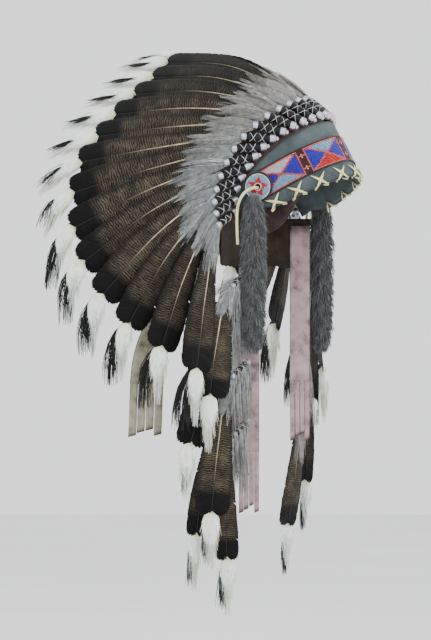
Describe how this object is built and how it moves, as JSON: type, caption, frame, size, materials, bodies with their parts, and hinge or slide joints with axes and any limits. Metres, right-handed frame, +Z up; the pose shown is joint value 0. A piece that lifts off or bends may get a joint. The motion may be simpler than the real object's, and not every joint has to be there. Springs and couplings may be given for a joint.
{
  "type": "feathered headdress",
  "caption": "Headdress to wear: a fan of barred feathers with wrapped quills and white tip fluffs on a beaded suede brow band, with a short feather trailer behind each ear.",
  "frame": {"origin": "centre of the head opening at temple height, in the tilted plane that the band and cap are drawn from, where it sits on the head", "axes": "+Z up, -Y the way the wearer faces, -X the wearer's right"},
  "size_m": [0.4688, 0.3323, 0.709],
  "materials": {
    "felt": "matt wool felt",
    "slate_suede": "matt suede",
    "beadwork": "glossy opaque glass seed beads",
    "rosette_beads": "glossy opaque glass seed beads",
    "feather": "satin feather vane with a faint sheen",
    "grey_fur": "soft deep fur",
    "brown_suede": "matt suede",
    "mauve_suede": "matt suede",
    "taupe_suede": "matt suede",
    "cream_hide": "matt hide lace"
  },
  "bodies": {
    "root": {"skull_cap": "felt", "brow_band": "slate_suede", "bead_strip": "beadwork", "rosette_right": "rosette_beads", "rosette_left": "rosette_beads", "fur_drop_right": "grey_fur", "fur_drop_left": "grey_fur", "thong_right": "cream_hide", "thong_left": "cream_hide", "ear_flap_right": "brown_suede", "ear_flap_left": "brown_suede", "back_drop_right": "taupe_suede", "back_drop_left": "taupe_suede", "trailer_strap_right": "mauve_suede", "trailer_strap_left": "mauve_suede", "fan_feather_middle": "feather", "fan_feather_right_01": "feather", "fan_feather_left_01": "feather", "fan_feather_right_02": "feather", "fan_feather_left_02": "feather", "fan_feather_right_03": "feather", "fan_feather_left_03": "feather", "fan_feather_right_04": "feather", "fan_feather_left_04": "feather", "fan_feather_right_05": "feather", "fan_feather_left_05": "feather", "fan_feather_right_06": "feather", "fan_feather_left_06": "feather", "fan_feather_right_07": "feather", "fan_feather_left_07": "feather", "fan_feather_right_08": "feather", "fan_feather_left_08": "feather", "fan_feather_right_09": "feather", "fan_feather_left_09": "feather", "fan_feather_right_10": "feather", "fan_feather_left_10": "feather", "fan_feather_right_11": "feather", "fan_feather_left_11": "feather", "fan_feather_right_12": "feather", "fan_feather_left_12": "feather", "fan_feather_right_13": "feather", "fan_feather_left_13": "feather", "trailer_feather_right_1": "feather", "trailer_feather_right_2": "feather", "trailer_feather_right_3": "feather", "trailer_feather_right_4": "feather", "trailer_feather_right_5": "feather", "trailer_feather_left_1": "feather", "trailer_feather_left_2": "feather", "trailer_feather_left_3": "feather", "trailer_feather_left_4": "feather"}
  },
  "joints": []
}
